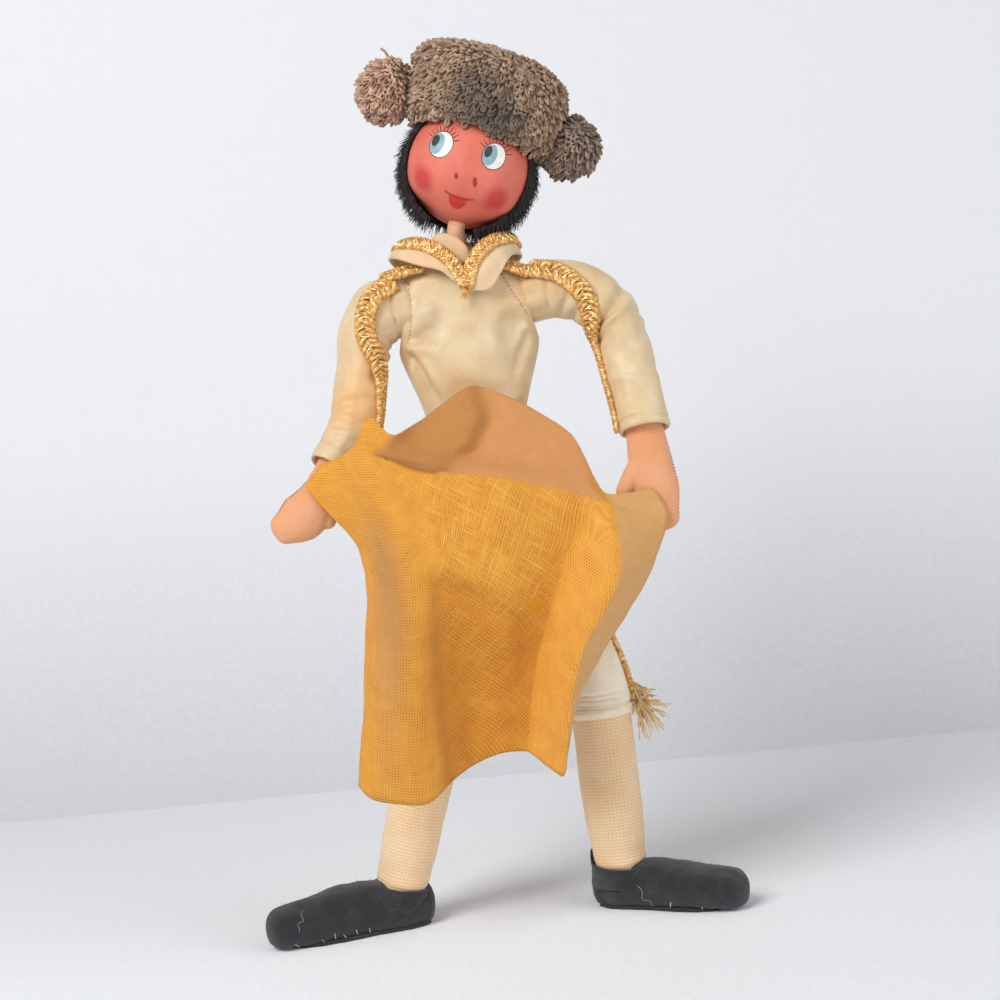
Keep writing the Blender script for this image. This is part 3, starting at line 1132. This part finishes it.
# %% Threads and thickness of the cape
thread_at = {}
for (i, j), v in sorted(crossing.items()):
    before, below = crossing.get((i - 1, j)), crossing.get((i, j - 1))
    thread_at[v] = (thread_at[before][0] + (v.co - before.co).length if before else 0,
                    thread_at[below][1] + (v.co - below.co).length if below else 0)
for face in bm.faces:
    for loop in face.loops:
        loop[uv].uv = thread_at[loop.vert]
bm.normal_update()
for v in bm.verts:
    ripple = noise.noise(v.co * 0.09) + 0.5 * noise.noise(v.co * 0.22)
    v.co += v.normal * (0.45 * ripple)
bmesh.ops.recalc_face_normals(bm, faces=bm.faces)


def thicken(sheet, millimetres, offset=0.0):
    """Gives a sheet its thickness, half to each side unless the offset moves it."""
    wall = sheet.modifiers.new("cloth", "SOLIDIFY")
    wall.thickness, wall.offset = millimetres / 1000, offset


cape = place_piece("linen_cape", bm, linen, "forearm_right", ["cape"])
thicken(cape, 0.9)
print("cape", len(cape.data.vertices), "vertices")

# %% [markdown]
# ## Collar
# Two satin flaps fall from round the neck, each edged with braid that meets in a point at the throat. Each flap is a
# grid of cloth laid between two lines: its upper edge, which stands round the neck, and its lower edge on the jacket.

# %% Collar lines
COLLARS = {
    "right": ([(0.4, -12.8, 203.4), (-3.4, -12.4, 211.8), (-10.5, -9.8, 217.8), (-18, -4, 218), (-17.6, 4, 217),
               (-9, 9.5, 218), (0, 10.5, 219)],
              [(-1, -13.8, 202.6), (-6, -14, 208.4), (-13, -12.8, 211), (-21.6, -7, 214.8), (-22, 3, 213),
               (-12, 11.5, 206), (0, 12, 206)]),
    "left": ([(0.9, -13, 203.2), (3.2, -12.4, 212), (8.6, -10.4, 217), (14.6, -5, 217.8), (16.2, 3, 216.4),
              (9, 9.5, 218), (0, 10.5, 219)],
             [(2.6, -14.2, 201.2), (8.4, -14.4, 201.8), (11.8, -13.2, 206), (15.6, -9.8, 211.6), (19, 2, 211.6),
              (11, 11, 206), (0, 12, 206)]),
}
COLLAR_ROUTE = [(0.0, 0.25), (0.2, 0.12), (0.4, 0.12), (0.7, 0.15), (0.99, 0.15)]
print("collar lines", len(COLLARS))

# %% Collar flaps and their braid
for side, sign in SIDES:
    upper, lower = [[Vector(p) for p in edge] for edge in COLLARS[side]]

    def surface(a, share, lift=0.0):
        """A place on the flap: along its edges, then from the upper one to the lower, which bulges a little."""
        spot, ahead, behind = [spline(upper, s).lerp(spline(lower, s), share)
                               for s in (a, min(1, a + 0.02), max(0, a - 0.02))]
        out = ((ahead - behind).cross(spline(lower, a) - spline(upper, a)) * -sign).normalized()
        return spot + out * (lift + 0.9 * math.sin(math.pi * min(1, share)))

    bm = bmesh.new()
    bmesh.ops.create_grid(bm, x_segments=70, y_segments=14, size=0.5)
    for v in bm.verts:
        a, b = v.co.x + 0.5, v.co.y + 0.5
        rounded_end = 1 - 0.55 * (1 - ease(a, -0.04, 0.1)) * abs(2 * b - 1) ** 3
        v.co = surface(a, 0.5 + (b - 0.5) * rounded_end, 0.5 * noise.noise(Vector((9 * a, 3 * b, sign))))
    bmesh.ops.recalc_face_normals(bm, faces=bm.faces)
    flap = place_piece("satin_collar_" + side, bm, satin, "torso", ["collar_" + side])
    thicken(flap, 0.9)
    route = route_on(lambda a, s, lift: surface(a, s, lift + 0.5), COLLAR_ROUTE)
    plait("collar_plait_" + side, *route, (5, 4.6), "torso", ["collar_braid_" + side])
    frays = []
    start = surface(0.0, 0.2, 1.2)
    for _ in range(9):
        aim = Vector((dice.uniform(-0.5, 0.5), -0.25, -1)).normalized()
        frays.append([start + aim * (dice.uniform(2, 4.2) * s) for s in (0, 0.5, 1)])
    threads("collar_fray_" + side, frays, 0.25, gold, "torso")
    print(flap.name, len(flap.data.vertices), "vertices")

# %% [markdown]
# At the throat a small rounded lapel folds over. It is a filled circle that is inset a few times, so that it can bend.
# On each shoulder a short length of braid leads from the collar to the sleeve.

# %% Lapel and shoulder braid


def round_patch():
    """A filled circle of radius one, inset a few times so that it can bend."""
    bm = bmesh.new()
    bmesh.ops.create_circle(bm, segments=48, radius=1, cap_ends=True)
    for _ in range(4):
        bmesh.ops.inset_individual(bm, faces=[max(bm.faces, key=lambda f: len(f.verts))], thickness=0.19)
    bmesh.ops.poke(bm, faces=[max(bm.faces, key=lambda f: len(f.verts))])
    return bm


bm = round_patch()
for v in bm.verts:
    x, y = v.co.x, v.co.y
    v.co = Vector((-2.8 + 5.8 * x, -10.4 - 0.6 * x + 0.7 * x * x + 0.4 * y * y, 215.8 - 2.6 * x + 4.4 * y))
lapel = place_piece("satin_lapel", bm, satin, "torso")
thicken(lapel, 0.7)

for side, points, out in (("left", [(11, -8.6, 209.6), (15.5, -8.6, 208.2), (20.6, -7.6, 206)], (0.1, -0.7, 0.7)),
                          ("right", [(-12, -8.4, 210.6), (-19, -7.4, 209.8), (-26, -5.4, 208)], (-0.1, -0.7, 0.7))):
    line = [spline([Vector(p) for p in points], k / 40) for k in range(41)]
    plait("shoulder_plait_" + side, line, [Vector(out).normalized()] * 41, (4.4, 5.4), "torso")
print("collar sewn")

# %% [markdown]
# ## Neck and head
# The neck is a post wrapped in flesh cloth. The head is a pressed cloth mask, painted coral red and slightly glossy,
# with only a hint of nose and cheeks in relief. A sphere is the right start: its points are pushed out by one relief
# function, and the same function places the painted features, so they lie on the skin.

# %% The mask and its relief
HEAD = Vector((5.2, -3, 240.7))
HEAD_RADIUS = 20
TILT = Matrix.Rotation(math.radians(22.2), 4, "Y")
BLUSH = ((-12.3, -8.5), (11.4, -8.1))


def on_head(spot):
    """A place in the head's own axes, from the middle of the head, as a place on the doll."""
    return HEAD + TILT @ Vector(spot)


def relief(right, up):
    """How far the mask stands out from the sphere, in millimetres, for a place seen from the front."""
    nose = 0.9 * gauss(right, 2.6) * gauss(up + 3, 3.2)
    cheeks = sum(0.45 * gauss(right - r, 6) * gauss(up - u, 5) for r, u in BLUSH)
    return nose + cheeks - 2.6 * ease(-up, 8, 20)


def on_face(right, up, lift=0.0):
    """A point of the painted mask, seen from the front at (right, up) of its middle."""
    depth = -math.sqrt(max(0.0, HEAD_RADIUS ** 2 - right ** 2 - up ** 2))
    out = Vector((right, depth, up)).normalized()
    return on_head(out * (HEAD_RADIUS + relief(right, up) + lift))


print("the nose stands out by", round(relief(0, -3), 2), "mm")

# %% Face paint finishes
face = new_finish("coral_mask_paint", Roughness=0.58, Coat_Weight=0.05, Coat_Roughness=0.4)
tone = mottled(face, 9, [(0.3, "#E27862"), (0.55, "#DB6E5A"), (0.75, "#D06350")], Detail=4.0)
for right, up in BLUSH:
    tone = smudge(face, tone, on_face(right, up), 5.6, "#C42E30", 0.85)
tone = smudge(face, tone, on_face(-1, -16.5), 10, "#F4806A", 0.7)
spot = node(face, "TexCoord").outputs["Object"]
grain = node(face, "TexNoise", {"Vector": spot, "Scale": per_metre(0.6), "Detail": 2.0}).outputs["Fac"]
bump = node(face, "Bump", {"Height": grain, "Strength": 0.12, "Distance": 0.0002})
wire_up(face, Base_Color=tone, Normal=bump.outputs[0])


def flat_paint(name, light, dark, gloss):
    """Brush paint: a hint of streak between two near tones."""
    return mottled_finish(name, 1.5, [(0.35, light), (0.65, dark)], Roughness=gloss)


eye_white = flat_paint("eye_white_paint", "#F4F1EA", "#E9E4DA", 0.35)
eye_blue = flat_paint("eye_blue_paint", "#8FB3BF", "#7BA1B0", 0.35)
eye_dark = flat_paint("eye_dark_paint", "#241C1C", "#322625", 0.35)
lip_red = flat_paint("lip_red_paint", "#DC403A", "#CE3834", 0.4)
line_red = flat_paint("line_red_paint", "#9A2A26", "#AA352E", 0.5)
print("paints", face.name, eye_white.name)

# %% Neck and head
neck = Limb([(0, 0, 209, 3.0), (0, 0, 214.6, 2.9), (*on_head((1.6, 0, -20)), 2.8), (*on_head((1.6, 0, -12)), 2.8)])
bm = skin(neck, hoops(24, start_dome=2), 32, folds(21, 0.2))
piece = place_piece("neck_cloth", bm, neck_jersey, "neck", ["neck_post"])
bm = bmesh.new()
bmesh.ops.create_uvsphere(bm, u_segments=96, v_segments=64, radius=HEAD_RADIUS)
in_order(bm)
for v in bm.verts:
    out = v.co.normalized()
    v.co = on_head(out * (HEAD_RADIUS + relief(v.co.x, v.co.z) * ease(-v.co.y, -12, 2)))
head = place_piece("mask_head", bm, face, "head", ["head"])
print("head", len(head.data.vertices))

# %% [markdown]
# The features are brush paint. Each patch starts as the same filled circle as the lapel, so that it can bend over the
# mask, and is laid five to seventeen hundredths of a millimetre above it, one over the other. Lines and lashes are very
# thin threads.

# %% Painted features


def painted_spot(name, middle, half_wide, half_tall, turn, lift, finish, shape=lambda x, y: (x, y)):
    """An oval of paint on the mask, turned by some degrees; the shape may squeeze the circle that it starts from."""
    bm = round_patch()
    spin = Matrix.Rotation(math.radians(turn), 2)
    for v in bm.verts:
        x, y = shape(v.co.x, v.co.y)
        place = Vector(middle) + spin @ Vector((x * half_wide, y * half_tall))
        v.co = on_face(place.x, place.y, lift)
    bmesh.ops.recalc_face_normals(bm, faces=bm.faces)
    place_piece(name, bm, finish, "head")


EYES = {"right": (-9.6, 3.0, -6), "left": (7.0, 4.0, -6)}
LASHES = 10
lash_lines = []
for side, sign in SIDES:
    x, y, turn = EYES[side]
    painted_spot("eye_outline_" + side, (x, y), 3.7, 4.35, turn, 0.05, eye_dark)
    painted_spot("eye_white_" + side, (x, y), 3.45, 4.1, turn, 0.09, eye_white)
    painted_spot("eye_blue_" + side, (x - 1.25, y), 2.15, 3.45, turn, 0.13, eye_blue)
    painted_spot("eye_pupil_" + side, (x - 2.0, y + 0.8), 1.1, 1.9, turn, 0.17, eye_dark)
    for k in range(LASHES):
        aim = math.radians(25 + 130 * k / (LASHES - 1))
        start = Vector((x + 3.7 * math.cos(aim), y + 4.35 * math.sin(aim)))
        end = Vector((x + 5.7 * math.cos(aim), y + (6.2 + 0.5 * (k % 2)) * math.sin(aim)))
        lash_lines.append([on_face(*start.lerp(end, s), 0.08) for s in (0, 0.33, 0.66, 1)])
threads("lashes", lash_lines, 0.13, eye_dark, "head", taper=0.5)
mouth = [on_face(-4.6 + 9.4 * s, -10.4 - 0.9 * math.sin(math.pi * s), 0.1) for s in [k / 16 for k in range(17)]]
threads("smile_line", [mouth], 0.25, line_red, "head")
painted_spot("lower_lip", (0, -11.4), 3.0, 4.1, 0, 0.08, lip_red, lambda x, y: (x, y if y < 0 else 0.15 * y))
painted_spot("nostril_right", (-2.3, -5.1), 0.6, 0.95, 15, 0.08, line_red)
painted_spot("nostril_left", (3.7, -5.3), 0.65, 1.5, 14, 0.08, line_red)
print("features painted, lashes", len(lash_lines))

# %% [markdown]
# ## Hair
# The hair is a strip of short black fur glued round the back and sides of the head. Thousands of fine tapered strands
# stand on a thin dark backing; a fur system would need its own renderer settings, while plain tubes export anywhere.

# %% Hair
fur = mottled_finish("black_short_fur", 2, [(0.35, "#0F0C0A"), (0.6, "#1E1814"), (0.75, "#33281F")],
                     Roughness=0.6, Specular_IOR_Level=0.3, Sheen_Weight=0.2)
HAT_BROW = 10.6
# roots spread evenly over the whole sphere, of which about half are kept
FUR_ROOTS = 8200


def has_hair(spot):
    """Where fur grows, in the head's own axes: behind the face, under the hat, clear of the neck."""
    ring = math.hypot(spot.x, spot.y)
    front = -6.2 - 2.0 * ease(spot.x, 4, 16)
    return spot.y > front and spot.z < HAT_BROW + 3 and (spot.z > -17 or ring > 9) and spot.z > -20


dice = random.Random(11)
strands = []
for k in range(FUR_ROOTS):
    z = 1 - 2 * (k + 0.5) / FUR_ROOTS
    around = k * math.pi * (3 - math.sqrt(5))  # the golden angle, as seeds sit in a sunflower
    out = Vector((math.sqrt(1 - z * z) * math.cos(around), math.sqrt(1 - z * z) * math.sin(around), z))
    root = out * (HEAD_RADIUS + 0.6)
    if not has_hair(root):
        continue
    stray = any_way(dice)
    aim = (out * 0.75 + Vector((0, 0.1, -0.85)) + stray * 0.32).normalized()
    length = dice.uniform(2.2, 3.9)
    strands.append([on_head(root + aim * (length * s) + Vector((0, 0, -1.2)) * s * s + stray * 0.5 * s * s)
                    for s in (0, 0.35, 0.7, 1)])
threads("fur_strands", strands, 0.16, fur, "head", ["hair"], taper=0.3)
bm = bmesh.new()
bmesh.ops.create_uvsphere(bm, u_segments=64, v_segments=48, radius=HEAD_RADIUS + 1.4)
in_order(bm)
bmesh.ops.delete(bm, geom=[v for v in bm.verts if not has_hair(v.co * 0.96)], context="VERTS")
bmesh.ops.transform(bm, matrix=Matrix.Translation(HEAD) @ TILT, verts=bm.verts)
cap = place_piece("fur_backing", bm, fur, "head")
thicken(cap, 1, -1)
print("fur strands", len(strands))

# %% [markdown]
# ## Hat
# The hat is cut from looped pile, like towelling: each loop of yarn is about a millimetre thick and two or three long.
# The crown is a squat loaf, spun from its outline and then pushed out of round. About one loop stands on each two
# square millimetres of it, leaning at random, and the two bobbles carry longer loops, one lighter and one darker.

# %% Pile finishes
SOOT = [(on_head((-3, -21, 19)), 14), (on_head((7, -21, 14)), 10)]


def looped_pile(name, dark, main, light):
    """Wool loops: tone changes from loop to loop, with a soot smudge on the front of the crown."""
    finish = new_finish(name, Roughness=0.9, Sheen_Weight=0.4, Sheen_Roughness=0.5)
    tone = mottled(finish, 2.4, [(0.3, dark), (0.5, main), (0.7, light)])
    for middle, reach in SOOT:
        tone = smudge(finish, tone, middle, reach, "#463F39", 0.68)
    wire_up(finish, Base_Color=tone)
    return finish


crown_pile = looped_pile("taupe_looped_pile", "#785E48", "#A48468", "#CAAA8C")
bobble_piles = {"right": looped_pile("light_brown_looped_pile", "#936D58", "#BF967A", "#E0BAA0"),
                "left": looped_pile("dark_brown_looped_pile", "#64503F", "#8C7360", "#B09781")}
print("pile", crown_pile.name, len(bobble_piles))

# %% Loops of pile


def pile_loop(foot, out, lean, long, dice):
    """One loop of yarn: up, over and back to the cloth."""
    side = out.cross(lean + Vector((0.01, 0.02, 0.03))).normalized()
    half = dice.uniform(0.55, 0.8)
    top = out * (0.6 * long) + lean * (1.1 * long)
    return [foot + side * (half * w) + top * h
            for w, h in ((-0.5, -0.2), (-1.0, 0.4), (-0.75, 0.85), (0, 1.05), (0.75, 0.85), (1.0, 0.4), (0.5, -0.2))]


def cover_with_loops(bm, cell, long, seed):
    """Loops on the faces of a base form, about one for each cell of its area in square millimetres."""
    dice = random.Random(seed)
    loops = []
    for f in bm.faces:
        want = f.calc_area() / cell
        first = min(range(len(f.verts)), key=lambda k: f.verts[k].index)
        corners = [v.co for v in [*f.verts[first:], *f.verts[:first]]]
        for _ in range(int(want) + (dice.random() < want % 1)):
            foot = corners[0].lerp(corners[1], dice.random()).lerp(
                corners[-1].lerp(corners[-2], dice.random()), dice.random())
            lean = Vector((-0.55, 0, -0.65)) + any_way(dice) * 0.4
            lean -= f.normal * lean.dot(f.normal)
            loops.append(pile_loop(foot, f.normal, lean, long * dice.uniform(0.75, 1.25), dice))
    return loops


print("points of a loop", len(pile_loop(Vector(), Vector((0, 0, 1)), Vector((1, 0, 0)), 2, random.Random(1))))

# %% Hat crown
HAT_HALF = 24.3
HAT_RISE = 26.6
outline = [Vector((HAT_HALF * r, 0, HAT_BROW + HAT_RISE * z)) for r, z in
           ((0.84, 0), (0.97, 0.14), (1, 0.32), (0.98, 0.6), (0.89, 0.82), (0.62, 0.95), (0, 1))]
bm = bmesh.new()
line = [bm.verts.new(spline(outline, k / 40)) for k in range(41)]
edges = [bm.edges.new(pair) for pair in zip(line, line[1:])]
bmesh.ops.spin(bm, geom=line + edges, cent=(0, 0, 0), axis=(0, 0, 1), angle=2 * math.pi, steps=96, use_merge=True)
bmesh.ops.remove_doubles(bm, verts=bm.verts, dist=1e-3)
for v in bm.verts:
    high = (v.co.z - HAT_BROW) / HAT_RISE
    v.co.z += (-0.05 * v.co.x - 2.0 * ease(-v.co.x, 6, 20)) * high + (1 - high) * (1.4 - 2.6 * (v.co.x / 22) ** 2)
    v.co.x -= 3.4 * ease(-v.co.x, 2, 18) * ease(high, 0.4, 0.9)
    v.co.y *= 0.88
    v.co += v.co.normalized() * 0.7 * noise.noise(v.co * 0.12)
bmesh.ops.holes_fill(bm, edges=[e for e in bm.edges if e.is_boundary], sides=0)
bmesh.ops.recalc_face_normals(bm, faces=bm.faces)
in_order(bm)
bmesh.ops.transform(bm, matrix=Matrix.Translation(HEAD) @ TILT, verts=bm.verts)
bm.normal_update()
crown_loops = cover_with_loops(bm, 2.3, 2.2, 5)
crown = place_piece("pile_crown", bm, crown_pile, "head", ["hat_crown"])
threads("crown_loops", crown_loops, 0.48, crown_pile, "head")
print("crown loops", len(crown_loops))

# %% [markdown]
# A bobble is a lumpy ball under longer loops. From the right one a single end of yarn sticks up.

# %% Bobbles
BOBBLES = {"right": (-32.2, 16.2), "left": (28.8, 15.8)}
for side, sign in SIDES:
    out, up = BOBBLES[side]
    bm = bmesh.new()
    bmesh.ops.create_uvsphere(bm, u_segments=36, v_segments=24, radius=8.0)
    in_order(bm)
    for v in bm.verts:
        v.co *= 1 + 0.12 * noise.noise(v.co * 0.15 + Vector((sign, 0, 0)))
        v.co.z *= 1.1
    bmesh.ops.transform(bm, matrix=Matrix.Translation(HEAD) @ TILT @ Matrix.Translation((out, 0, up)), verts=bm.verts)
    bm.normal_update()
    loops = cover_with_loops(bm, 2.0, 2.5, 20 + sign)
    if side == "right":
        knob = on_head((out, 0, up))
        loops.append([knob + Vector(p) for p in ((1.6, 0, 8.5), (1.5, 0, 11), (0.6, 0, 12.6), (-0.5, 0, 13.6))])
    bobble = place_piece("pile_bobble_" + side, bm, bobble_piles[side], "head", ["hat_bobble_" + side])
    threads("bobble_loops_" + side, loops, 0.44, bobble_piles[side], "head")
    print(bobble.name, "loops", len(loops))

# %% [markdown]
# ## What stays inside
# The stuffing and the wires are solids that the cloth hides. They stay as they are and only get plain finishes, so
# that a cut through the model still makes sense.

# %% Stuffing and wire
wadding = mottled_finish("cotton_wadding", 3, [(0.3, "#D8D0C0"), (0.7, "#F0EADD")], 5.0, Roughness=0.95)
iron = mottled_finish("annealed_iron_wire", 1.2, [(0.35, "#4E4B48"), (0.65, "#77736E")], 3.0,
                      Roughness=0.55, Metallic=1.0)
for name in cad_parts:
    if name == "torso" or "wire" in name:
        solid = bpy.data.objects[name]
        solid.data.materials.clear()
        solid.data.materials.append(wadding if name == "torso" else iron)
print("inner solids finished")

# %% [markdown]
# ## Stage and light
# The doll stands on pale felt before a pale wall. The light is plain and soft: an even white sky, a wide lamp from the
# upper left, as in the photograph, a weaker one from the right, and no more light than makes a colour render about as
# it is written.

# %% Stage finish


def watched(owner):
    """One for the rays that a camera sends, also off a shiny face or through glass, else zero."""
    rays = node(owner, "LightPath").outputs
    both = node(owner, "Math", {0: rays["Is Glossy Ray"], 1: rays["Is Transmission Ray"]}, operation="MAXIMUM")
    return node(owner, "Math", {0: both.outputs[0], 1: rays["Is Camera Ray"]}, operation="MAXIMUM").outputs[0]


pale = mottled_finish("pale_stage_felt", 2, [(0.3, "#E6E7EB"), (0.7, "#EDEEF1")], 4.0,
                      Roughness=0.95, Emission_Color=paint("#F4F6FA"))
# the wall is lifted to the pale grey of the photograph, less so near its foot, and the floor is not
lift = watched(pale)
for way, least, most, reach in (("True Normal", 0.25, 0.0, 1.0), ("Position", 0.2, 1.0, 0.16)):
    upward = node(pale, "SeparateXYZ", {0: node(pale, "NewGeometry").outputs[way]}).outputs["Z"]
    share = node(pale, "MapRange", {"Value": upward, "From Max": reach, "To Min": least, "To Max": most}).outputs[0]
    lift = node(pale, "Math", {0: lift, 1: share}, operation="MULTIPLY").outputs[0]
wire_up(pale, Emission_Strength=lift)
# a camera behind the wall looks through it
unseen = node(pale, "Math", {0: node(pale, "LightPath").outputs["Is Camera Ray"],
                             1: node(pale, "NewGeometry").outputs["Backfacing"]}, operation="MULTIPLY").outputs[0]
seen = node(pale, "MixShader", {0: unseen, 1: pale.node_tree.nodes["Principled BSDF"].outputs[0],
                                2: node(pale, "BsdfTransparent").outputs[0]})
pale.node_tree.links.new(seen.outputs[0], pale.node_tree.nodes["Material Output"].inputs["Surface"])
print("stage finish", pale.name)

# %% Floor and wall
STAGE_HALF = 1500
WALL_BACK = 246
bm = bmesh.new()
bmesh.ops.create_grid(bm, x_segments=1, y_segments=1, size=STAGE_HALF)
far_edge = max(bm.edges, key=lambda e: e.verts[0].co.y + e.verts[1].co.y)
for v in far_edge.verts:
    v.co.y = WALL_BACK
# from the floor's far edge the wall rises, leaning back a little, and more floor runs on behind it
for move in ((0, 60, STAGE_HALF), (0, 1400, 0)):
    drawn = bmesh.ops.extrude_edge_only(bm, edges=[far_edge])["geom"]
    bmesh.ops.translate(bm, verts=only_verts(drawn), vec=move)
bm.normal_update()
for f in bm.faces:
    if f.normal.dot(Vector((0, -1, 1))) < 0:
        f.normal_flip()
stage = place_piece("stage", bm, pale)
print("stage", len(stage.data.polygons), "faces")

# %% Lamps
world = bpy.data.worlds.new("soft_sky")
world.use_nodes = True
world.node_tree.nodes["Background"].inputs["Color"].default_value = paint("#F4F6F8")
strength = node(world, "Math", {0: watched(world), 1: 0.5, 2: 0.345}, operation="MULTIPLY_ADD").outputs[0]
world.node_tree.links.new(strength, world.node_tree.nodes["Background"].inputs["Strength"])
bpy.context.scene.world = world
for name, spot, size, watts in (("key", (-420, -560, 640), 0.45, 5.3), ("fill", (620, -420, 320), 0.7, 2.0)):
    lamp = bpy.data.objects.new(name, bpy.data.lights.new(name, "AREA"))
    lamp.data.size = size
    lamp.data.energy = watts
    lamp.location = TO_FRAME @ Vector(spot)
    lamp.rotation_mode = "QUATERNION"
    lamp.rotation_quaternion = (LOOK_AT - lamp.location).to_track_quat("-Z", "Y")
    bpy.context.scene.collection.objects.link(lamp)
bpy.context.scene.view_settings.view_transform = "Standard"
print("lamps set")
